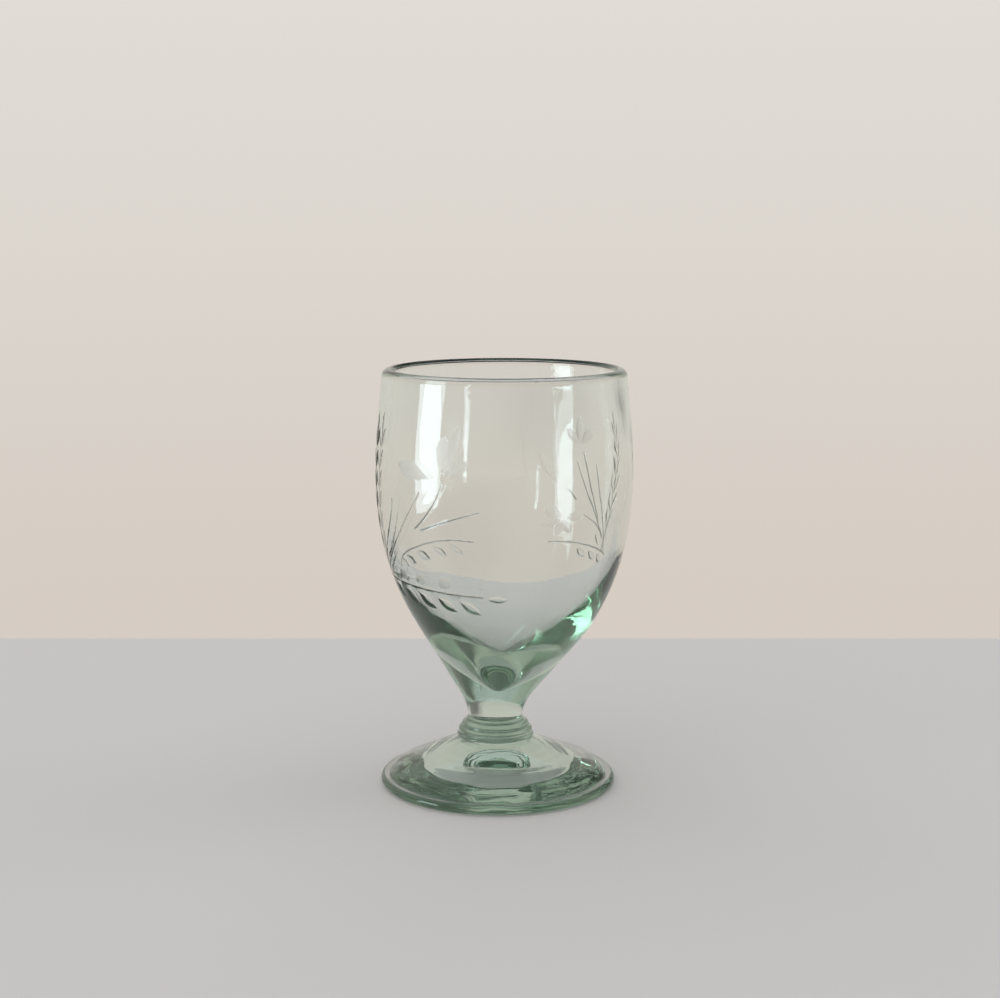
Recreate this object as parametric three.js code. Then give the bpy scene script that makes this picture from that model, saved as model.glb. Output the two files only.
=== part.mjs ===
// Hand-blown footed glass: bowl, short stem, collar and foot, four gathers of glass joined while hot.
// Millimetres, +Z up. The glass stands on z = 0 and the bowl's axis is the z axis.
import * as THREE from 'three';

// Heights, stacked from the table up.
const FOOT_HEIGHT = 14.5;
const COLLAR_HEIGHT = 7;
const STEM_HEIGHT = 8.5;
const CONE_HEIGHT = 16;      // straight cone under the bowl
const SHOULDER_HEIGHT = 55;  // from the cone to the widest part of the bowl
const UPPER_HEIGHT = 32;     // from the widest part to the lip

// Outer radii.
const FOOT_RADIUS = 37.5;
const COLLAR_RADIUS = 12.1;
const WAIST_RADIUS = 8.4;
const STEM_TOP_RADIUS = 12;
const BELLY_RADIUS = 40.5;
const RIM_RADIUS = 38.4;

// Slopes of the outline, in millimetres outwards for each millimetre upwards.
const WAIST_SLOPE = 0.2;
const CONE_SLOPE = 0.73;
const RIM_SLOPE = -0.09;
const HOLLOW_SLOPE = 1.14;

// Thickness of the glass and shape of the two hollows.
const WALL = 3;
const RIM_WALL = 3.6;
const LIP_HEIGHT = 2.6;      // rounding of the lip's outer edge
const LIP_WIDTH = 2.5;
const BEVEL_HEIGHT = 1.3;    // slope of the lip's inner edge
const BEVEL_WIDTH = 0.7;
const BASE_DEPTH = 4.1;      // solid glass between the stem and the tip of the bowl's hollow
const HOLLOW_TIP = 0.8;      // rounding of that tip
const HOLLOW_CONE = 8.9;     // height of the straight cone above the tip
const CONE_BEND = 14.5;      // how far the hollow keeps the cone's slope as it turns upright
const SIDE_DEPTH = 31;       // how far the hollow's side runs on before it turns inwards
const FOOT_EDGE = 3;         // height of the foot's rounded edge
const FOOT_BORDER = 1.6;     // flat border inside that edge
const STEP_WIDTH = 2.4;      // rise from the border to the foot's cone
const STEP_HEIGHT = 2.7;
const COLLAR_TUCK = 0.7;     // rounding under the collar
const KICK_RADIUS = 21.5;    // hollow under the foot
const KICK_HEIGHT = 4.6;

// Sideways drift of the hand-formed axis, measured from the bowl's own axis.
const FOOT_DRIFT = -2.1;
const COLLAR_DRIFT = -2.9;

// Fineness of the turned surfaces.
const TURNS = 48;
const CURVE_STEPS = 7;

// Levels and radii worked out from the sizes above.
const COLLAR_Z = FOOT_HEIGHT;
const STEM_Z = COLLAR_Z + COLLAR_HEIGHT;
const BOWL_Z = STEM_Z + STEM_HEIGHT;
const CONE_Z = BOWL_Z + CONE_HEIGHT;
const BELLY_Z = CONE_Z + SHOULDER_HEIGHT;
const RIM_Z = BELLY_Z + UPPER_HEIGHT;
const HOLLOW_Z = BOWL_Z + BASE_DEPTH;
const CONE_RADIUS = STEM_TOP_RADIUS + CONE_SLOPE * CONE_HEIGHT;
const FOOT_JOINT_RADIUS = COLLAR_RADIUS - COLLAR_TUCK;

// Where the axis lies at a height: over the foot, out to the collar, then across to the bowl.
function axisAt(z) {
  const toCollar = THREE.MathUtils.smoothstep(z, 0, COLLAR_Z + COLLAR_HEIGHT / 2);
  const toBowl = THREE.MathUtils.smoothstep(z, STEM_Z, CONE_Z + CONE_HEIGHT / 2);
  return THREE.MathUtils.lerp(FOOT_DRIFT, COLLAR_DRIFT, toCollar) * (1 - toBowl);
}

// Adds a smooth curve from the path's last point to (r, z), with a given slope at each end.
function sweepTo(path, r, z, startSlope, endSlope) {
  const from = path.currentPoint;
  const third = (z - from.y) / 3;
  path.bezierCurveTo(from.x + startSlope * third, from.y + third, r - endSlope * third, z - third, r, z);
}

// Turns an outline of (radius, height) about the axis and lets it follow the drift.
function turned(name, outline, color) {
  const geometry = new THREE.LatheGeometry(outline.getPoints(CURVE_STEPS), TURNS);
  geometry.rotateX(Math.PI / 2);
  const position = geometry.getAttribute('position');
  for (let i = 0; i < position.count; i++) {
    position.setX(i, position.getX(i) + axisAt(position.getZ(i)));
  }
  geometry.computeVertexNormals();
  const material = new THREE.MeshStandardMaterial({ color, roughness: 0.06, metalness: 0 });
  const mesh = new THREE.Mesh(geometry, material);
  mesh.name = name;
  return mesh;
}

// Low cone inside a narrow border with a rounded edge, standing on a flat ring round a dished hollow.
function foot() {
  const dish = (KICK_RADIUS ** 2 + KICK_HEIGHT ** 2) / (2 * KICK_HEIGHT);
  const edge = FOOT_EDGE / 2;
  const edgeCentre = FOOT_RADIUS - edge;
  const border = edgeCentre - FOOT_BORDER;
  const outline = new THREE.Path();
  outline.moveTo(0, KICK_HEIGHT);
  outline.absarc(0, KICK_HEIGHT - dish, dish, Math.PI / 2, Math.acos(KICK_RADIUS / dish), true);
  outline.lineTo(edgeCentre, 0);
  outline.absarc(edgeCentre, edge, edge, -Math.PI / 2, Math.PI / 2, false);
  outline.lineTo(border, FOOT_EDGE);
  outline.lineTo(border - STEP_WIDTH, FOOT_EDGE + STEP_HEIGHT);
  outline.lineTo(FOOT_JOINT_RADIUS, FOOT_HEIGHT);
  outline.lineTo(0, FOOT_HEIGHT);
  return turned('foot', outline, 0x93a88f);
}

// Flared ring between the foot and the stem, tucked in at its lower edge.
function collar() {
  const lip = COLLAR_Z + COLLAR_TUCK;
  const outline = new THREE.Path();
  outline.moveTo(0, COLLAR_Z);
  outline.lineTo(FOOT_JOINT_RADIUS, COLLAR_Z);
  outline.absarc(FOOT_JOINT_RADIUS, lip, COLLAR_TUCK, -Math.PI / 2, 0, false);
  const middle = (lip + STEM_Z) / 2;
  outline.quadraticCurveTo(COLLAR_RADIUS, middle, WAIST_RADIUS, STEM_Z);
  outline.lineTo(0, STEM_Z);
  return turned('collar', outline, 0x8aa189);
}

// Short pinched neck that widens into the cone of the bowl.
function stem() {
  const outline = new THREE.Path();
  outline.moveTo(0, STEM_Z);
  outline.lineTo(WAIST_RADIUS, STEM_Z);
  sweepTo(outline, STEM_TOP_RADIUS, BOWL_Z, WAIST_SLOPE, CONE_SLOPE);
  outline.lineTo(0, BOWL_Z);
  return turned('stem', outline, 0xb9c6b6);
}

// Lower part of the bowl's hollow: the side turns inwards to a cone with a small rounded tip.
function hollowBottom(outline) {
  const side = BELLY_RADIUS - WALL;
  const coneTop = HOLLOW_SLOPE * (HOLLOW_CONE + HOLLOW_TIP);
  const coneTopZ = HOLLOW_Z + HOLLOW_CONE;
  const bend = coneTop + HOLLOW_SLOPE * CONE_BEND;
  const tip = HOLLOW_SLOPE * HOLLOW_TIP;
  outline.bezierCurveTo(side, BELLY_Z - SIDE_DEPTH, bend, coneTopZ + CONE_BEND, coneTop, coneTopZ);
  outline.lineTo(2 * tip, HOLLOW_Z + HOLLOW_TIP);
  outline.quadraticCurveTo(tip, HOLLOW_Z, 0, HOLLOW_Z);
}

// Blown cup on its solid cone, with a lip that is rounded outside and slopes down inside.
function bowl() {
  const mouth = RIM_RADIUS - RIM_WALL;
  const crown = RIM_RADIUS - LIP_WIDTH;
  const outline = new THREE.Path();
  outline.moveTo(0, BOWL_Z);
  outline.lineTo(STEM_TOP_RADIUS, BOWL_Z);
  outline.lineTo(CONE_RADIUS, CONE_Z);
  sweepTo(outline, BELLY_RADIUS, BELLY_Z, CONE_SLOPE, 0);
  sweepTo(outline, RIM_RADIUS, RIM_Z - LIP_HEIGHT, 0, RIM_SLOPE);
  outline.absellipse(crown, RIM_Z - LIP_HEIGHT, LIP_WIDTH, LIP_HEIGHT, 0, Math.PI / 2, false, 0);
  outline.lineTo(mouth + BEVEL_WIDTH, RIM_Z);
  outline.lineTo(mouth, RIM_Z - BEVEL_HEIGHT);
  sweepTo(outline, BELLY_RADIUS - WALL, BELLY_Z, RIM_SLOPE, 0);
  hollowBottom(outline);
  return turned('bowl', outline, 0xc8cfc3);
}

const glass = new THREE.Group();
glass.name = 'footed_glass';
glass.add(foot(), collar(), stem(), bowl());

export default glass;
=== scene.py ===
"""Looks of a hand-blown footed glass with a cut leaf decoration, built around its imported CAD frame."""
import math

import bpy
import numpy as np
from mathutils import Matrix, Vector


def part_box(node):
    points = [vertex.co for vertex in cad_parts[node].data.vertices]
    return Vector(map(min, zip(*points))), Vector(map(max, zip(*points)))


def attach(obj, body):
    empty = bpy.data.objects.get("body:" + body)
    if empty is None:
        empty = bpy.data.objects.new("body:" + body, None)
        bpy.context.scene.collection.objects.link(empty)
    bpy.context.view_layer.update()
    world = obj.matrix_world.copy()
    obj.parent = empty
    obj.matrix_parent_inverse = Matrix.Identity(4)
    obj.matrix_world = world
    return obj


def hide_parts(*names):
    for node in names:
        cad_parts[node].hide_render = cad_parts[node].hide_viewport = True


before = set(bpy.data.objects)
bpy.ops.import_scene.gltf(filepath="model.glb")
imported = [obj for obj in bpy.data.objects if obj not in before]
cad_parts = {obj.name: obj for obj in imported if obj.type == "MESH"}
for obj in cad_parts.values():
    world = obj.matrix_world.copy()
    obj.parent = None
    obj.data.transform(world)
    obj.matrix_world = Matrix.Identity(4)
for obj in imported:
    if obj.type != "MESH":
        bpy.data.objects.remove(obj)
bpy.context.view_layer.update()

MM = 0.001

# Sizes that the frame gives, in millimetres.
foot_low, foot_high = (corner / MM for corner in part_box("foot"))
collar_low, collar_high = (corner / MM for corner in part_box("collar"))
stem_low, stem_high = (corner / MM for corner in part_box("stem"))
bowl_low, bowl_high = (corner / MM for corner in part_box("bowl"))
FOOT_RADIUS = (foot_high.y - foot_low.y) / 2
COLLAR_RADIUS = (collar_high.y - collar_low.y) / 2
STEM_TOP_RADIUS = (stem_high.y - stem_low.y) / 2
BELLY_RADIUS = (bowl_high.y - bowl_low.y) / 2
COLLAR_Z = foot_high.z
STEM_Z = collar_high.z
BOWL_Z = stem_high.z
RIM_Z = bowl_high.z

# Sizes of the same outlines that no box gives, in millimetres.
WAIST_RADIUS = 8.4
RIM_RADIUS = 38.4
CONE_HEIGHT = 16      # straight cone under the bowl
UPPER_HEIGHT = 32     # from the widest part of the bowl to the lip
WAIST_SLOPE = 0.2     # slopes go outwards for each millimetre upwards
CONE_SLOPE = 0.73
RIM_SLOPE = -0.09
WALL = 3
RIM_WALL = 3.6
LIP_HEIGHT = 2.6      # rounding of the lip's outer edge
LIP_WIDTH = 2.5
BEVEL_HEIGHT = 1.3    # slope of the lip's inner edge
BEVEL_WIDTH = 0.7
BASE_DEPTH = 4.1      # solid glass between the stem and the tip of the bowl's hollow
HOLLOW_SLOPE = 1.14
HOLLOW_TIP = 0.8      # rounding of that tip
HOLLOW_CONE = 8.9     # height of the straight cone above the tip
CONE_BEND = 14.5      # how far the hollow keeps the cone's slope as it turns upright
SIDE_DEPTH = 31       # how far the hollow's side runs on before it turns inwards
FOOT_EDGE = 3         # height of the foot's rounded edge
FOOT_BORDER = 1.6     # flat border inside that edge
STEP_WIDTH = 2.4      # rise from the border to the foot's cone
STEP_HEIGHT = 2.7
COLLAR_TUCK = 0.7     # rounding under the collar
KICK_RADIUS = 21.5    # hollow under the foot
KICK_HEIGHT = 4.6
FOOT_DRIFT = -2.1     # sideways drift of the hand-formed axis
COLLAR_DRIFT = -2.9
CONE_Z = BOWL_Z + CONE_HEIGHT
BELLY_Z = RIM_Z - UPPER_HEIGHT
HOLLOW_Z = BOWL_Z + BASE_DEPTH
CONE_RADIUS = STEM_TOP_RADIUS + CONE_SLOPE * CONE_HEIGHT
FOOT_JOINT_RADIUS = COLLAR_RADIUS - COLLAR_TUCK

# Fineness of the meshes. Sizes are in millimetres.
TURNS = 200           # columns round the glass
ROW = 1.25            # height of a row on the bowl
FINER = 5             # how many times finer the mesh is where the bowl is cut
UNDERSIDE_ROW = 0.9   # width of a row under the foot
UNDERSIDE_START = 1   # from the edge of the kick to the first of these rows
CURVE_STEPS = 24
CORNER_STEPS = 8
LIP_STEPS = 14
EDGE_STEPS = 16       # steps round the foot's edge
STROKE_STEPS = 20     # steps of a stroke of the decoration
BORDER_BEND = 0.8     # rounding of the corners on the foot
BEVEL_BEND = 0.35     # and on the lip
JOINT_GAP = 0.02      # hairline between two joined pieces, so that their faces never coincide


def smoothstep(x, low, high):
    t = np.clip((x - low) / (high - low), 0, 1)
    return t * t * (3 - 2 * t)


def axis_at(z):
    """Where the axis lies at a height: over the foot, out to the collar, then across to the bowl."""
    to_collar = smoothstep(z, 0, (COLLAR_Z + STEM_Z) / 2)
    to_bowl = smoothstep(z, STEM_Z, CONE_Z + CONE_HEIGHT / 2)
    return (FOOT_DRIFT + (COLLAR_DRIFT - FOOT_DRIFT) * to_collar) * (1 - to_bowl)


def bezier(points, steps=CURVE_STEPS):
    """Points on a curve of any degree, without its first point."""
    t = np.linspace(0, 1, steps + 1)[1:, None]
    points = [np.array(p, float) for p in points]
    while len(points) > 1:
        points = [a * (1 - t) + b * t for a, b in zip(points, points[1:])]
    return [tuple(p) for p in points[0]]


def sweep(start, end, start_slope, end_slope):
    """Smooth curve between two (radius, height) points with a given slope at each end."""
    third = (end[1] - start[1]) / 3
    near = (start[0] + start_slope * third, start[1] + third)
    far = (end[0] - end_slope * third, end[1] - third)
    return bezier([start, near, far, end])


def arc(centre, radius, start, end, steps=CURVE_STEPS):
    angles = np.linspace(start, end, steps + 1)
    return [(centre[0] + radius * math.cos(a), centre[1] + radius * math.sin(a)) for a in angles]


def evenly(points, spacing):
    """The same outline with points at an even spacing along it."""
    points = np.array(points)
    along = np.concatenate([[0], np.cumsum(np.hypot(*np.diff(points, axis=0).T))])
    marks = np.linspace(0, along[-1], max(2, round(along[-1] / spacing) + 1))
    return np.stack([np.interp(marks, along, points[:, i]) for i in (0, 1)], -1)


def rounded(points, reach):
    """The same outline with its inner corners rounded off, as far from each corner as reach says."""
    points = [np.array(p, float) for p in points]
    outline = [tuple(points[0])]
    for before, corner, after in zip(points, points[1:], points[2:]):
        start = corner + (before - corner) * reach / np.linalg.norm(before - corner)
        end = corner + (after - corner) * reach / np.linalg.norm(after - corner)
        outline += [tuple(start)] + bezier([start, corner, end], CORNER_STEPS)
    return outline + [tuple(points[-1])]


def place(angle, radius, z):
    """Points in metres at an angle from the front (-Y), turning towards +X."""
    x = radius * np.sin(angle) + axis_at(z)
    return np.stack([x, -radius * np.cos(angle), z], -1) * MM


class Skin:
    """Collects the rings, poles and faces of one closed piece of glass."""

    def __init__(self):
        self.points = []
        self.count = 0
        self.faces = []
        self.joint_faces = []
        self.marks = {}

    def add(self, points):
        """Adds points and gives the number of the first."""
        first = self.count
        self.points.append(np.atleast_2d(points))
        self.count += len(self.points[-1])
        return first

    def ring(self, radius, z, wobble=None):
        angles = np.arange(TURNS) * math.tau / TURNS
        offset = wobble(angles, z) if wobble else 0
        first = self.add(place(angles, radius + offset, np.full(TURNS, float(z))))
        return [first + i for i in range(TURNS)]

    def lift(self, ring, height):
        """Raises the points of a ring by heights in millimetres."""
        points = np.concatenate(self.points)
        points[ring, 2] += height(*(points[ring, :2] / MM).T) * MM
        self.points = [points]

    def pole(self, z):
        return self.add(place(0.0, 0.0, float(z)))

    def band(self, lower, upper):
        """Joins two rings, with the outside on the right hand when going from lower to upper."""
        for i in range(TURNS):
            j = (i + 1) % TURNS
            self.faces.append((lower[i], lower[j], upper[j], upper[i]))

    def cap(self, ring, pole, upwards, joint=False):
        """Closes a ring with a pole. A joint is where the next piece is fused on."""
        for i in range(TURNS):
            j = (i + 1) % TURNS
            face = (ring[i], ring[j], pole) if upwards else (ring[j], ring[i], pole)
            if joint:
                self.joint_faces.append(len(self.faces))
            self.faces.append(face)

    def crease(self, mesh):
        """Sharp edges round the flat faces at the joints."""
        rims = np.zeros(len(mesh.vertices), bool)
        for i in self.joint_faces:
            rims[list(self.faces[i][:2])] = True
        ends = np.zeros(2 * len(mesh.edges), np.int32)
        mesh.edges.foreach_get("vertices", ends)
        sharp = rims[ends.reshape(-1, 2)].all(1)
        mesh.attributes.new("sharp_edge", "BOOLEAN", "EDGE").data.foreach_set("value", sharp)

    def mark(self, mesh):
        """Writes the named values of the first points, and zero for all other points."""
        for name, marks in self.marks.items():
            values = np.zeros(len(mesh.vertices), np.float32)
            values[:len(marks)] = marks
            mesh.attributes.new(name, "FLOAT", "POINT").data.foreach_set("value", values)

    def build(self, name, material):
        mesh = bpy.data.meshes.new(name)
        mesh.from_pydata(np.concatenate(self.points).tolist(), [], self.faces)
        joint = np.zeros(len(self.faces), np.float32)
        joint[self.joint_faces] = 1
        mesh.attributes.new("joint", "FLOAT", "FACE").data.foreach_set("value", joint)
        mesh.polygons.foreach_set("use_smooth", np.ones(len(self.faces), bool))
        mesh.materials.append(material)
        self.crease(mesh)
        mesh.validate()
        mesh.update()
        self.mark(mesh)
        piece = bpy.data.objects.new(name, mesh)
        bpy.context.scene.collection.objects.link(piece)
        return piece


# Hand-worked unevenness of the surfaces, in millimetres.
# Waves of the bowl's walls: height, number round the bowl, phase, and the rise that turns them by a radian.
OUTER_WAVES = [(0.09, 3, 0.7, 23), (0.045, 7, -1.3, 11)]
INNER_WAVES = [(0.12, 2, 2.1, -29), (0.06, 6, 0.4, 9)]
OUTER_WAVES_START = CONE_Z - 8
WAVES_FULL = CONE_Z + 30
EVEN_LIP = 14            # the waves begin to die out this far below the rim
RIDGE_HEIGHT = 0.18      # tool marks on the collar
RIDGE_PITCH = 1.9
RIDGE_TILT = 0.5
RIDGE_FADE = 1.2
RING_HEIGHT = 0.05       # rings on the foot
RING_PITCH = 1.3
SWELL_HEIGHT = 0.16      # slow swells round the foot
SWELLS = 5
RINGS_START = 2          # height over which these grow above the foot's edge
RINGS_END = 3            # and die out below the collar
# Ripples under the foot: radians for each millimetre along x and along y, and phase.
RIPPLES = [(0.62, 0.21, 0.4), (-0.31, 0.57, 1.9), (0.35, -0.63, 4.1), (0.17, 0.38, 0)]
RIPPLE_HEIGHT = 0.07
RIPPLE_LIFT = 0.1
RIPPLES_FADE = 6         # how far inside the foot's edge the ripples begin to die out
RIPPLES_END = 2          # and are gone


def below_lip(z):
    """One in the bowl's wall, falling to nothing at the even lip."""
    return 1 - smoothstep(z, RIM_Z - EVEN_LIP, RIM_Z - LIP_HEIGHT)


def wall_waves(waves, angle, z):
    return sum(height * np.sin(count * angle + phase + z / rise) for height, count, phase, rise in waves)


def outer_wobble(angle, z):
    return wall_waves(OUTER_WAVES, angle, z) * smoothstep(z, OUTER_WAVES_START, WAVES_FULL) * below_lip(z)


def inner_wobble(angle, z):
    return wall_waves(INNER_WAVES, angle, z) * smoothstep(z, HOLLOW_Z, WAVES_FULL) * below_lip(z)


def collar_ridges(angle, z):
    """Level tool marks round the collar."""
    room = smoothstep(z, COLLAR_Z, COLLAR_Z + RIDGE_FADE) * (1 - smoothstep(z, STEM_Z - RIDGE_FADE, STEM_Z))
    return RIDGE_HEIGHT * np.sin(math.tau * z / RIDGE_PITCH + RIDGE_TILT * np.sin(angle + 1)) * room


def foot_rings(angle, z):
    """Faint uneven rings and slow swells on the top of the foot."""
    past_edge = smoothstep(z, FOOT_EDGE, FOOT_EDGE + RINGS_START)
    under_collar = 1 - smoothstep(z, COLLAR_Z - RINGS_END, COLLAR_Z)
    rings = RING_HEIGHT * np.sin(math.tau * z / RING_PITCH + np.sin(2 * angle))
    return (rings + SWELL_HEIGHT * np.sin(SWELLS * angle + z / 2)) * (past_edge * under_collar)


def foot_ripples(x, y):
    """Dimpled underside of the foot, raised from the table."""
    waves = sum(np.sin(along_x * x + along_y * y + phase) for along_x, along_y, phase in RIPPLES)
    away = np.hypot(x - FOOT_DRIFT, y)
    room = 1 - smoothstep(away, FOOT_RADIUS - RIPPLES_FADE, FOOT_RADIUS - RIPPLES_END)
    return np.clip(RIPPLE_HEIGHT * waves + RIPPLE_LIFT, 0, None) * room


# The cut decoration. Places on the bowl are (across, up) in millimetres from the foot of a spray.
RING_Z = 68.0            # height of the ring that the sprays stand on
LINE_WIDTH = 0.66
LINE_DEPTH = 0.3
LINE_TIP = 0.4           # width at the end of a line, for a width of one at its start
LEAF_DEPTH = 0.4
LEAF_FROST = 0.3
LEAF_STEEPNESS = 1.6     # how fast a leaf gets deep from its edge
PAINTED_SHADE_PLACE = 0.62       # how far out the painted shadow on a leaf is darkest, and how far from there it fades
PAINTED_SHADE_REACH = 0.34
PETAL_DEPTH = 0.24
PETAL_FROST = 1.0
PETAL_BELLY = 0.6
GARLAND_TIP = 0.8
GARLAND_FROST = 0.5


def close(at, centre, reach):
    return np.flatnonzero(np.abs(at - centre).max(1) < reach)


def cut_stroke(marks, at, start, end, half):
    """Deepens the points that lie within a straight length of a line, and darkens them with painted shade."""
    depth, _, painted_dark = marks
    run = end - start
    near = close(at, (start + end) / 2, np.linalg.norm(run) / 2 + half)
    t = np.clip((at[near] - start) @ run / (run @ run), 0, 1)
    away = np.linalg.norm(at[near] - start - t[:, None] * run, axis=1)
    room = np.clip(1 - away / half, 0, 1)
    depth[near] = np.maximum(depth[near], LINE_DEPTH * room)
    painted_dark[near] = np.maximum(painted_dark[near], np.clip(2 * room, 0, 1))


def cut_leaf(marks, at, start, axis, length, half, deep, rough, painted_shade, belly):
    """Deepens and frosts the points that lie within a leaf, and paints shade on those near its right-hand
    edge.
    """
    depth, frost, painted_dark = marks
    near = close(at, start + axis * length / 2, length / 2 + half)
    offset = at[near] - start
    t = np.clip(offset @ axis / length, 0, 1)
    side = offset @ np.array([axis[1], -axis[0]]) / half
    ahead = np.where(t < belly, t / belly, (1 - t) / (1 - belly))
    room = np.sin(np.clip(ahead, 0, 1) * math.pi / 2)
    cut = np.clip(room - np.abs(side), 0, 1)
    # Painted shadow along the leaf's right-hand edge.
    edge = np.clip(1 - np.abs(side - PAINTED_SHADE_PLACE * room) / PAINTED_SHADE_REACH, 0, 1) * (cut > 0)
    depth[near] = np.maximum(depth[near], deep * np.clip(LEAF_STEEPNESS * cut, 0, 1))
    frost[near] = np.where(cut > 0, np.maximum(frost[near], rough), frost[near])
    painted_dark[near] = np.maximum(painted_dark[near], painted_shade * edge)


class Cuts:
    """All cuts of the decoration, as tapering strokes and leaf-shaped cuts on the bowl's outer wall."""

    def __init__(self, profile):
        self.z = profile[:, 1]
        self.radius = profile[:, 0]
        self.along = np.concatenate([[0], np.cumsum(np.hypot(*np.diff(profile, axis=0).T))])
        self.ring = np.interp(RING_Z, self.z, self.along)
        self.strokes = []
        self.leaves = []

    def line(self, spray, points, tip=LINE_TIP):
        """Curved stroke that gets narrower towards its end."""
        path = np.array([points[0]] + bezier(points, STROKE_STEPS))
        widths = np.linspace(LINE_WIDTH, LINE_WIDTH * tip, len(path))
        for start, end, width in zip(path, path[1:], widths):
            self.strokes.append((spray, start, end, width / 2))

    def leaf(self, spray, start, direction, length, width,
             depth=LEAF_DEPTH, frost=LEAF_FROST, painted_shade=0.0, belly=0.5):
        """Leaf-shaped cut. Belly says how far along it is widest; the painted shade value paints a shadow
        along its right-hand edge.
        """
        axis = np.array([math.cos(direction), math.sin(direction)])
        self.leaves.append((spray, np.array(start), axis, length, width / 2, depth, frost, painted_shade, belly))

    def measure(self, angle, along):
        """Depth, frosting and painted shade at points given by angle and by length up the wall."""
        z = np.interp(along, self.along, self.z)
        radius = np.interp(z, self.z, self.radius)
        marks = np.zeros((3, len(angle)))
        for spray in sorted({cut[0] for cut in self.strokes + self.leaves}):
            turn = (angle - spray[0] + math.pi) % math.tau - math.pi
            at = np.stack([turn * radius, along - self.ring - spray[1]], -1)
            for _, *stroke in (cut for cut in self.strokes if cut[0] == spray):
                cut_stroke(marks, at, *stroke)
            for _, *leaf in (cut for cut in self.leaves if cut[0] == spray):
                cut_leaf(marks, at, *leaf)
        return marks


def leaf_row(count, first, step, leaf, painted_shade, fade=0.0):
    """Leaves at even steps, each with its start, direction, length, width and painted shade."""
    starts = [(first[0] + step[0] * i, first[1] + step[1] * i) for i in range(count)]
    return [(start, *leaf, painted_shade - fade * i) for i, start in enumerate(starts)]


# Each spray has its angle round the bowl and its height above the ring.
LEFT_SPRAY = (math.radians(-88), 0.0)
RIGHT_SPRAY = (math.radians(99), 3.8)

# Ears: where the stalk stands, how far it leans and how high it is, and the leaves' lengths and widths.
LEFT_EAR = (3, 5, 46)
RIGHT_EAR = (5.5, 1.8, 41)
EAR_PAIRS = 6
EAR_START = 9            # height of the first pair
EAR_BARE = 6.4           # the pairs share the height of the stalk less this
EAR_GAP = 0.5            # from the stalk to a leaf
EAR_SPREAD = 0.36        # between a leaf and the upright, in radians
EAR_LEAF = (6.6, 1.9)
EAR_TOP = (8, 1.5)
# Painted shadow on the edges of the ears' leaves.
EAR_PAINTED_SHADE = 0.9

# Stems, as the control points of curves.
BROAD_STEMS = [
    [(0, 0), (21, 18.6), (21.5, 28)],
    [(12, 8.5), (19.5, 12.7), (24.2, 23.8)],
    [(4, 1.5), (21.5, 12.5), (34.5, 31)],
    [(31.5, 19.8), (39.8, 26.1), (42.6, 34)],
    [(34, 19.6), (46.5, 24.2), (54.3, 26.3)],
]
NARROW_STEMS = [
    [(3, 0.5), (10, 9), (17, 22), (19.5, 29)],
    [(13.5, 10), (21.5, 19), (25.2, 32.5)],
    [(8, 5), (22, 15), (28.4, 29.4)],
    [(11, 7), (15, 9.2), (23.4, 11.2)],
    [(28, 16), (30, 17.6), (32.3, 19.2)],
]

# Blossoms: the centre, and each petal's direction, length, width and distance from the centre.
DAISY_CENTRE = (42.6, 34.3)
DAISY = [(2.88, 14, 5.2, 4.5), (1.57, 10.5, 4.2, 4), (1.31, 16.5, 3.6, 2), (0.75, 8, 3.6, 2.5)]
ROSETTE_CENTRE = (32.8, 8.5)
ROSETTE = [(0.3, 8.6, 4.6, 0.8), (2.9, 8.6, 3.6, 0.8), (-0.35, 8.6, 3.4, 0.8),
           (-1.3, 6, 3.8, 0.8), (4.0, 6, 3.4, 0.8)]
BUD_CENTRE = (27.4, 35)
BUD = [(0.8, 7, 3.4, 0.5), (1.55, 8.5, 3.4, 0.5), (2.36, 7.6, 3.4, 0.5)]

# Garlands: the control points of their lines, and their leaves.
FRONT_LINE = [(0, 1.3), (16, 0.9), (32, -0.3), (47.3, -0.9)]
# The last value of each garland leaf is the painted shadow on its edge.
FRONT_LEAVES = leaf_row(6, (2.3, -0.1), (7.3, -0.5), (-0.8, 6.6, 4.3), 0.85, 0.06)
END_LEAF = ((48.2, -1.7), 0, 6.2, 2.4, 0.4)
BACK_LINE = [(0, 1.2), (-12, 4.4), (-30, 4.4), (-47, 3.1)]
BACK_LEAVES = leaf_row(5, (-6, 2.6), (-7.4, 0), (0.8 - math.pi, 6.4, 3.0), 0.4)
SHORT_LINE = [(0, -0.2), (12, 0.9), (24, 0.4), (36, -0.3)]
SHORT_LEAVES = leaf_row(3, (22.9, -1.6), (-7.4, 0), (0.4 - math.pi, 6.4, 3.0), 0.4)

# Single petals and a slim shoot: each has its start, direction, length and width.
FRONT_PETALS = [((16.6 + 8.9 * i, 2.2 - 0.3 * i), 0.5, 5.6, 3.4) for i in range(3)]
LONG_PETAL = ((38.8, 20.9), 1.04, 13, 3.4)
SHOOT = ((10, 1.4), 0.84, 5.6, 1.9)
# Painted shadow on the shoot's edge.
SHOOT_PAINTED_SHADE = 0.6


def ear(cuts, spray, foot, lean, height):
    """Upright ear with pairs of slim leaves on a straight stalk that leans to one side."""
    cuts.line(spray, [(foot, 0), (foot + lean, height)])
    for i in range(EAR_PAIRS):
        for side in (-1, 1):
            up = EAR_START + (height - EAR_BARE) / EAR_PAIRS * i
            start = (foot + lean * up / height + side * EAR_GAP, up)
            cuts.leaf(spray, start, math.pi / 2 - side * EAR_SPREAD, *EAR_LEAF, painted_shade=EAR_PAINTED_SHADE)
    cuts.leaf(spray, (foot + lean, height - 1), math.pi / 2, *EAR_TOP, painted_shade=EAR_PAINTED_SHADE)


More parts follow.
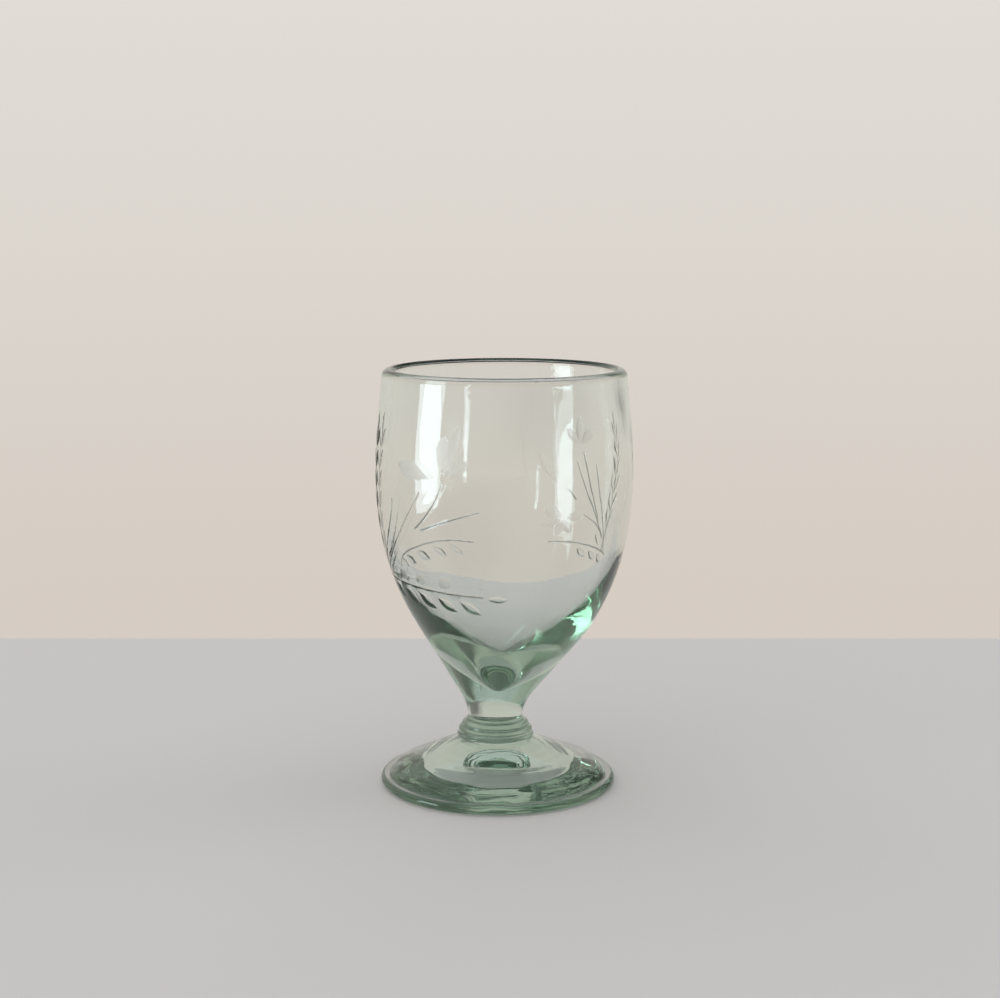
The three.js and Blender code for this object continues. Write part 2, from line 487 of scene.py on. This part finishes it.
def blossom(cuts, spray, centre, petals):
    """Open flower of frosted petals."""
    for direction, length, width, away in petals:
        start = (centre[0] + away * math.cos(direction), centre[1] + away * math.sin(direction))
        cuts.leaf(spray, start, direction, length, width, PETAL_DEPTH, PETAL_FROST, belly=PETAL_BELLY)


def garland(cuts, spray, points, leaves):
    """Line along the bowl with leaves beside it."""
    cuts.line(spray, points, GARLAND_TIP)
    for start, direction, length, width, painted_shade in leaves:
        cuts.leaf(spray, start, direction, length, width, frost=GARLAND_FROST, painted_shade=painted_shade)


def decoration(profile):
    cuts = Cuts(profile)
    ear(cuts, LEFT_SPRAY, *LEFT_EAR)
    for stem in BROAD_STEMS:
        cuts.line(LEFT_SPRAY, stem)
    blossom(cuts, LEFT_SPRAY, DAISY_CENTRE, DAISY)
    garland(cuts, LEFT_SPRAY, FRONT_LINE, FRONT_LEAVES + [END_LEAF])
    for petal in FRONT_PETALS:
        cuts.leaf(LEFT_SPRAY, *petal, PETAL_DEPTH, PETAL_FROST)
    garland(cuts, LEFT_SPRAY, BACK_LINE, BACK_LEAVES)
    ear(cuts, RIGHT_SPRAY, *RIGHT_EAR)
    for stem in NARROW_STEMS:
        cuts.line(RIGHT_SPRAY, stem)
    cuts.leaf(RIGHT_SPRAY, *SHOOT, painted_shade=SHOOT_PAINTED_SHADE)
    blossom(cuts, RIGHT_SPRAY, ROSETTE_CENTRE, ROSETTE)
    blossom(cuts, RIGHT_SPRAY, BUD_CENTRE, BUD)
    cuts.leaf(RIGHT_SPRAY, *LONG_PETAL, PETAL_DEPTH, PETAL_FROST)
    garland(cuts, RIGHT_SPRAY, SHORT_LINE, SHORT_LEAVES)
    return cuts


def lip_outline():
    """Lip from the outer wall to the inner one: rounded outside, sloping down inside."""
    quarter = arc((0, 0), 1, 0, math.pi / 2, LIP_STEPS)
    crown = RIM_RADIUS - LIP_WIDTH
    outside = [(crown + LIP_WIDTH * across, RIM_Z + LIP_HEIGHT * (up - 1)) for across, up in quarter]
    mouth = RIM_RADIUS - RIM_WALL
    below = (mouth, RIM_Z - BEVEL_HEIGHT - 2 * BEVEL_BEND)
    corners = [outside[-1], (mouth + BEVEL_WIDTH, RIM_Z), (mouth, RIM_Z - BEVEL_HEIGHT), below]
    return outside + rounded(corners, BEVEL_BEND)[1:-1]


def hollow_outline(start):
    """Inner wall of the bowl from the lip down to the bottom of the hollow."""
    side = BELLY_RADIUS - WALL
    cone_top = (HOLLOW_SLOPE * (HOLLOW_CONE + HOLLOW_TIP), HOLLOW_Z + HOLLOW_CONE)
    bend = (cone_top[0] + HOLLOW_SLOPE * CONE_BEND, cone_top[1] + CONE_BEND)
    tip = HOLLOW_SLOPE * HOLLOW_TIP
    inner = [start] + sweep(start, (side, BELLY_Z), RIM_SLOPE, 0)
    inner += bezier([inner[-1], (side, BELLY_Z - SIDE_DEPTH), bend, cone_top], 2 * CURVE_STEPS)
    inner += [(2 * tip, HOLLOW_Z + HOLLOW_TIP)]
    tip_curve = bezier([inner[-1], (tip, HOLLOW_Z), (0, HOLLOW_Z)], CORNER_STEPS)
    return np.concatenate([evenly(inner, ROW), tip_curve])


def bowl_outlines():
    """Outer wall from the joint to the lip, the lip, and the inner wall."""
    outer = [(STEM_TOP_RADIUS, BOWL_Z + JOINT_GAP / 2), (CONE_RADIUS, CONE_Z)]
    outer += sweep(outer[-1], (BELLY_RADIUS, BELLY_Z), CONE_SLOPE, 0)
    outer += sweep(outer[-1], (RIM_RADIUS, RIM_Z - LIP_HEIGHT), 0, RIM_SLOPE)
    lip = lip_outline()
    return evenly(outer, ROW), lip[1:-1], hollow_outline(lip[-1])


def touched_cells(depth, rows):
    """Which cells of the bowl's wall a cut touches, apart from the lowest and the highest row."""
    fine_rows, fine_turns = rows * FINER, TURNS * FINER
    touched = (depth > 0).reshape(fine_rows + 1, fine_turns)
    cells = np.zeros((rows, TURNS), bool)
    for i in range(FINER + 1):
        for j in range(FINER + 1):
            columns = (np.arange(TURNS) * FINER + j) % fine_turns
            cells |= touched[i:i + fine_rows - FINER + 1:FINER][:, columns]
    cells[[0, -1]] = False
    return cells


def fine_faces(row, column):
    """Small faces of a cell that is cut, as (row, column) corners on the fine grid."""
    for i in range(row * FINER, (row + 1) * FINER):
        for j in range(column * FINER, (column + 1) * FINER):
            yield [(i, j), (i, j + 1), (i + 1, j + 1), (i + 1, j)]


def plain_face(cells, row, column):
    """Face of a cell that isn't cut, with more corners on the sides where a finer cell meets it."""
    i, j = row * FINER, column * FINER
    below = row > 0 and cells[row - 1, column]
    above = row < len(cells) - 1 and cells[row + 1, column]
    before = cells[row, column - 1]
    after = cells[row, (column + 1) % TURNS]
    edge = [(i, j + k) for k in range(0, FINER, 1 if below else FINER)]
    edge += [(i + k, j + FINER) for k in range(0, FINER, 1 if after else FINER)]
    edge += [(i + FINER, j + FINER - k) for k in range(0, FINER, 1 if above else FINER)]
    edge += [(i + FINER - k, j) for k in range(0, FINER, 1 if before else FINER)]
    return edge


def wall_faces(cells):
    for row in range(len(cells)):
        for column in range(TURNS):
            if cells[row, column]:
                yield from fine_faces(row, column)
            else:
                yield plain_face(cells, row, column)


def cut_wall(skin, profile, cuts):
    """Outer wall of the bowl, finer wherever a cut touches it. Gives its lowest and highest ring."""
    rows = len(profile) - 1
    fine_rows, fine_turns = rows * FINER, TURNS * FINER
    along = np.interp(np.arange(fine_rows + 1) / FINER, np.arange(rows + 1), cuts.along)
    grid_angle = np.tile(np.arange(fine_turns) * math.tau / fine_turns, fine_rows + 1)
    grid_along = np.repeat(along, fine_turns)
    depth, frost, painted_dark = cuts.measure(grid_angle, grid_along)
    used = {}

    def corner(i, j):
        return used.setdefault((i, j % fine_turns), len(used))

    faces = [[corner(*at) for at in face] for face in wall_faces(touched_cells(depth, rows))]
    at = np.array(list(used))
    index = at[:, 0] * fine_turns + at[:, 1]
    angle = grid_angle[index]
    z = np.interp(grid_along[index], cuts.along, profile[:, 1])
    radius = np.interp(grid_along[index], cuts.along, profile[:, 0])
    first = skin.add(place(angle, radius + outer_wobble(angle, z) - depth[index], z))
    skin.faces += [tuple(first + v for v in face) for face in faces]
    # The painted shade of the lines and leaf edges is stored beside the frosting.
    skin.marks = {"frost": frost[index], "painted_shade": painted_dark[index]}
    lowest = [first + corner(0, k * FINER) for k in range(TURNS)]
    highest = [first + corner(fine_rows, k * FINER) for k in range(TURNS)]
    return lowest, highest


def make_bowl(material):
    outer, lip, inner = bowl_outlines()
    skin = Skin()
    lowest, last = cut_wall(skin, outer, decoration(outer))
    for radius, z in lip:
        ring = skin.ring(radius, z)
        skin.band(last, ring)
        last = ring
    for radius, z in inner[:-1]:
        ring = skin.ring(radius, z, inner_wobble)
        skin.band(last, ring)
        last = ring
    skin.cap(last, skin.pole(inner[-1][1]), upwards=True)
    skin.cap(lowest, skin.pole(outer[0][1]), upwards=False, joint=True)
    return skin.build("bowl_glass", material)


def make_turned(name, outline, material, lower_joint, wobble=None, underside=None):
    """Piece turned from an outline that runs from the lower axis point to the upper one, fused at its top."""
    skin = Skin()
    first = last = skin.ring(*outline[1], wobble)
    for radius, z in outline[2:-1]:
        ring = skin.ring(radius, z, wobble)
        skin.band(last, ring)
        last = ring
        if underside and z == 0:
            skin.lift(ring, underside)
    skin.cap(first, skin.pole(outline[0][1]), upwards=False, joint=lower_joint)
    skin.cap(last, skin.pole(outline[-1][1]), upwards=True, joint=True)
    return skin.build(name, material)


def make_stem(material):
    """Short pinched neck that widens into the cone of the bowl."""
    low, high = STEM_Z + JOINT_GAP / 2, BOWL_Z - JOINT_GAP / 2
    outline = [(0, low), (WAIST_RADIUS, low)]
    outline += sweep(outline[-1], (STEM_TOP_RADIUS, high), WAIST_SLOPE, CONE_SLOPE)
    return make_turned("stem_glass", outline + [(0, high)], material, True)


def make_collar(material):
    """Flared ring between the foot and the stem, tucked in at its lower edge."""
    low, high = COLLAR_Z + JOINT_GAP / 2, STEM_Z - JOINT_GAP / 2
    lip = low + COLLAR_TUCK
    outline = [(0, low)] + arc((FOOT_JOINT_RADIUS, lip), COLLAR_TUCK, -math.pi / 2, 0, CORNER_STEPS)
    flare = [outline[-1], (COLLAR_RADIUS, (lip + high) / 2), (WAIST_RADIUS, high)]
    outline += bezier(flare, 2 * CURVE_STEPS)
    return make_turned("collar_glass", outline + [(0, high)], material, True, collar_ridges)


def make_foot(material):
    """Low cone inside a narrow border with a rounded edge, standing on a ring round a dished hollow."""
    dish = (KICK_RADIUS ** 2 + KICK_HEIGHT ** 2) / (2 * KICK_HEIGHT)
    edge = FOOT_EDGE / 2
    border = FOOT_RADIUS - edge - FOOT_BORDER
    shoulder = (border - STEP_WIDTH, FOOT_EDGE + STEP_HEIGHT)
    top = (FOOT_JOINT_RADIUS, COLLAR_Z - JOINT_GAP / 2)
    underside = np.arange(KICK_RADIUS + UNDERSIDE_START, FOOT_RADIUS - edge, UNDERSIDE_ROW)
    outline = arc((0, KICK_HEIGHT - dish), dish, math.pi / 2, math.acos(KICK_RADIUS / dish))
    outline += [(radius, 0) for radius in underside]
    outline += arc((FOOT_RADIUS - edge, edge), edge, -math.pi / 2, math.pi / 2, EDGE_STEPS)
    cone = rounded([outline[-1], (border, FOOT_EDGE), shoulder, top], BORDER_BEND)
    outline += cone[1:-1] + bezier(cone[-2:], 2 * CURVE_STEPS)
    return make_turned("foot_glass", outline + [(0, top[1])], material, False, foot_rings, foot_ripples)


# Glass.
GLASS_IOR = 1.52
TINT = (0.0, 0.31, 0.09, 1)
TINT_DENSITY = 20.5
FROST_ROUGHNESS = 0.42
WAVE_SCALE = 110         # waves in a metre
WAVE_DETAIL = 2
WAVE_HEIGHT = 0.00004    # in metres
WHITE = (1, 1, 1, 1)
# Painted shade: the cut lines and one edge of each leaf are coloured dark, standing in for the darkness that
# the cuts show by refraction.
PAINTED_CUT_SHADE = (0.10, 0.115, 0.105, 1)


def node(tree, kind, **values):
    made = tree.nodes.new(kind)
    for key, value in values.items():
        setattr(made, key, value)
    return made


def add_waviness(tree, shader):
    """Slight, fine unevenness of hand-worked glass."""
    coordinates = node(tree, "ShaderNodeTexCoord")
    noise = node(tree, "ShaderNodeTexNoise")
    noise.inputs["Scale"].default_value = WAVE_SCALE
    noise.inputs["Detail"].default_value = WAVE_DETAIL
    bump = node(tree, "ShaderNodeBump")
    bump.inputs["Strength"].default_value = 1
    bump.inputs["Distance"].default_value = WAVE_HEIGHT
    tree.links.new(coordinates.outputs["Object"], noise.inputs["Vector"])
    tree.links.new(noise.outputs["Fac"], bump.inputs["Height"])
    tree.links.new(bump.outputs["Normal"], shader.inputs["Normal"])


def add_range(tree, attribute, low, high, socket):
    """Sets a socket by a value of the mesh: low where that is 0, high where it is 1."""
    source = node(tree, "ShaderNodeAttribute", attribute_name=attribute)
    span = node(tree, "ShaderNodeMapRange")
    span.inputs["To Min"].default_value = low
    span.inputs["To Max"].default_value = high
    tree.links.new(source.outputs["Fac"], span.inputs["Value"])
    tree.links.new(span.outputs["Result"], socket)


def add_frost_and_painted_shade(tree, shader):
    """Frosted petals, and shade painted into the colour of the lines and of the leaf edges."""
    add_range(tree, "frost", 0, FROST_ROUGHNESS, shader.inputs["Roughness"])
    painted_shade = node(tree, "ShaderNodeAttribute", attribute_name="painted_shade")
    color = node(tree, "ShaderNodeValToRGB")
    color.color_ramp.elements[0].color = WHITE
    color.color_ramp.elements[1].color = PAINTED_CUT_SHADE
    tree.links.new(painted_shade.outputs["Fac"], color.inputs["Fac"])
    tree.links.new(color.outputs["Color"], shader.inputs["Base Color"])


def glass_material(name, cut=False):
    """Clear green glass. Faces marked joint, where two pieces are fused, bend no light."""
    material = bpy.data.materials.new(name)
    material.use_nodes = True
    tree = material.node_tree
    tree.nodes.clear()
    output = node(tree, "ShaderNodeOutputMaterial")
    shader = node(tree, "ShaderNodeBsdfPrincipled")
    shader.inputs["Base Color"].default_value = WHITE
    shader.inputs["Transmission Weight"].default_value = 1
    shader.inputs["Roughness"].default_value = 0
    add_waviness(tree, shader)
    add_range(tree, "joint", GLASS_IOR, 1, shader.inputs["IOR"])
    if cut:
        add_frost_and_painted_shade(tree, shader)
    volume = node(tree, "ShaderNodeVolumeAbsorption")
    volume.inputs["Color"].default_value = TINT
    volume.inputs["Density"].default_value = TINT_DENSITY
    tree.links.new(shader.outputs["BSDF"], output.inputs["Surface"])
    tree.links.new(volume.outputs["Volume"], output.inputs["Volume"])
    return material


# Stage, light and camera, in metres and watts.
FLOOR_COLOR = (0.925, 0.905, 0.895, 1)
FLOOR_ROUGHNESS = 0.9
FLOOR_BACK = 0.195
FLOOR_REACH = 1.2
FLOOR_DROP = 0.0002      # the floor lies this far under the glass
WINDOW_COLOR = (0.77, 0.945, 1.0)
WINDOW_X = -0.36
WINDOW_Y = -0.15
WINDOW_WIDTH = 0.167
WINDOW_FOOT = 0.003
WINDOW_HEIGHT = 0.172
WINDOW_POWER = 0.528
SLIT_PLACE = (-0.30, -0.45, 0.115)
SLIT_SIZE = (0.03, 0.13)
SLIT_POWER = 0.06
CAMERA_PLACE = (-0.00139, -0.5807, 0.1853)
CAMERA_TILT = 0.1601     # downwards, in radians
CAMERA_LENS = 67.2       # in millimetres
SENSOR_WIDTH = 36
MOST_BOUNCES = 32
GLOSSY_BOUNCES = 24

# The room by height, as the upward part of a direction: its color, and how far its sides are dimmed.
BELOW_COLOR = (0.015, 0.015, 0.015, 1)
WALL_FOOT_COLOR = (0.67, 0.605, 0.548, 1)
WALL_COLOR = (0.71, 0.665, 0.615, 1)
UPPER_WALL_COLOR = (0.75, 0.72, 0.67, 1)
CEILING_COLOR = (0.72, 0.73, 0.74, 1)
ROOM_LEVELS = [(-0.46, BELOW_COLOR), (-0.43, WALL_FOOT_COLOR), (-0.2, WALL_FOOT_COLOR), (-0.05, WALL_COLOR),
               (0.1, UPPER_WALL_COLOR), (0.4, WALL_COLOR), (0.75, CEILING_COLOR)]
DIM_LEVELS = [(-0.04, 0), (0.08, 1), (0.65, 1), (0.8, 0)]
# Dimming by degrees to the right of straight back: a dim part at the left, a dark panel at the back right
# and the viewer's side.
DIM_SIDES = [(-180, 0.4), (-162, 0.1), (-112, 0), (-104, 0.35), (-80, 0.35), (-66, 0), (16, 0), (30, 0.7),
             (50, 0.7), (62, 0), (90, 0), (106, 0.75), (160, 0.75), (180, 0.4)]
HALF_TURN = 180          # in degrees


def make_floor():
    mesh = bpy.data.meshes.new("floor")
    left, right, front, back = -FLOOR_REACH, FLOOR_REACH, -FLOOR_REACH, FLOOR_BACK
    corners = [(left, front, -FLOOR_DROP), (right, front, -FLOOR_DROP),
               (right, back, -FLOOR_DROP), (left, back, -FLOOR_DROP)]
    mesh.from_pydata(corners, [], [(0, 1, 2, 3)])
    material = bpy.data.materials.new("floor")
    material.use_nodes = True
    shader = material.node_tree.nodes["Principled BSDF"]
    shader.inputs["Base Color"].default_value = FLOOR_COLOR
    shader.inputs["Roughness"].default_value = FLOOR_ROUGHNESS
    shader.inputs["Specular IOR Level"].default_value = 0
    mesh.materials.append(material)
    floor = bpy.data.objects.new("floor", mesh)
    bpy.context.scene.collection.objects.link(floor)


def grays(stops):
    return [(at, (level, level, level, 1)) for at, level in stops]


def add_ramp(tree, source, limit, stops, scale):
    """Color by a value from -limit to limit. Stops are (place, color) pairs from -scale to scale."""
    span = node(tree, "ShaderNodeMapRange")
    span.inputs["From Min"].default_value = -limit
    span.inputs["From Max"].default_value = limit
    ramp = node(tree, "ShaderNodeValToRGB")
    elements = ramp.color_ramp.elements
    while len(elements) < len(stops):
        elements.new(0.5)
    for element, (at, color) in zip(elements, stops):
        element.position = (at + scale) / (2 * scale)
        element.color = color
    tree.links.new(source, span.inputs["Value"])
    tree.links.new(span.outputs["Result"], ramp.inputs["Fac"])
    return ramp.outputs["Color"]


def make_world():
    """Pale room, dark far below the table, with parts of its sides dimmed."""
    world = bpy.data.worlds.new("room")
    bpy.context.scene.world = world
    world.use_nodes = True
    tree = world.node_tree
    coordinates = node(tree, "ShaderNodeTexCoord")
    split = node(tree, "ShaderNodeSeparateXYZ")
    turn = node(tree, "ShaderNodeMath", operation="ARCTAN2")
    tree.links.new(coordinates.outputs["Generated"], split.inputs["Vector"])
    tree.links.new(split.outputs["X"], turn.inputs[0])
    tree.links.new(split.outputs["Y"], turn.inputs[1])
    colors = add_ramp(tree, split.outputs["Z"], 1, ROOM_LEVELS, 1)
    reach = add_ramp(tree, split.outputs["Z"], 1, grays(DIM_LEVELS), 1)
    sides = add_ramp(tree, turn.outputs["Value"], math.pi, grays(DIM_SIDES), HALF_TURN)
    dim = node(tree, "ShaderNodeMath", operation="MULTIPLY")
    keep = node(tree, "ShaderNodeMath", operation="SUBTRACT")
    keep.inputs[0].default_value = 1
    shaded = node(tree, "ShaderNodeVectorMath", operation="MULTIPLY")
    tree.links.new(reach, dim.inputs[0])
    tree.links.new(sides, dim.inputs[1])
    tree.links.new(dim.outputs["Value"], keep.inputs[1])
    tree.links.new(colors, shaded.inputs[0])
    tree.links.new(keep.outputs["Value"], shaded.inputs[1])
    tree.links.new(shaded.outputs["Vector"], tree.nodes["Background"].inputs["Color"])


def make_lamp(name, at, aim, size, power):
    """Lamp that only glass shows: it lights no surface and is hidden from the camera."""
    light = bpy.data.lights.new(name, "AREA")
    light.shape = "RECTANGLE"
    light.size, light.size_y = size
    light.energy = power
    light.color = WINDOW_COLOR
    lamp = bpy.data.objects.new(name, light)
    lamp.location = at
    lamp.rotation_euler = (lamp.location - Vector(aim)).to_track_quat("Z", "Y").to_euler()
    lamp.visible_camera = False
    lamp.visible_diffuse = False
    bpy.context.scene.collection.objects.link(lamp)


def make_lamps():
    """Window on the left, and a narrow gap of light nearer to the viewer."""
    z = WINDOW_FOOT + WINDOW_HEIGHT / 2
    size = (WINDOW_WIDTH, WINDOW_HEIGHT)
    make_lamp("window", (WINDOW_X, WINDOW_Y, z), (0, WINDOW_Y, z), size, WINDOW_POWER)
    make_lamp("slit", SLIT_PLACE, (0, 0, SLIT_PLACE[2]), SLIT_SIZE, SLIT_POWER)


def make_camera():
    camera = bpy.data.cameras.new("camera")
    camera.sensor_fit = "HORIZONTAL"
    camera.sensor_width = SENSOR_WIDTH
    camera.lens = CAMERA_LENS
    view = bpy.data.objects.new("camera", camera)
    view.location = CAMERA_PLACE
    view.rotation_euler = (math.pi / 2 - CAMERA_TILT, 0, 0)
    bpy.context.scene.collection.objects.link(view)
    bpy.context.scene.camera = view


def make_glass():
    clear = glass_material("clear_green_glass")
    cut = glass_material("cut_green_glass", cut=True)
    pieces = {
        "bowl": make_bowl(cut),
        "stem": make_stem(clear),
        "collar": make_collar(clear),
        "foot": make_foot(clear),
    }
    for name, piece in pieces.items():
        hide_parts(name)
        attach(piece, "root")


scene = bpy.context.scene
scene.view_settings.view_transform = "Standard"
scene.cycles.max_bounces = MOST_BOUNCES
scene.cycles.transmission_bounces = MOST_BOUNCES
scene.cycles.glossy_bounces = GLOSSY_BOUNCES
make_glass()
make_floor()
make_world()
make_lamps()
make_camera()
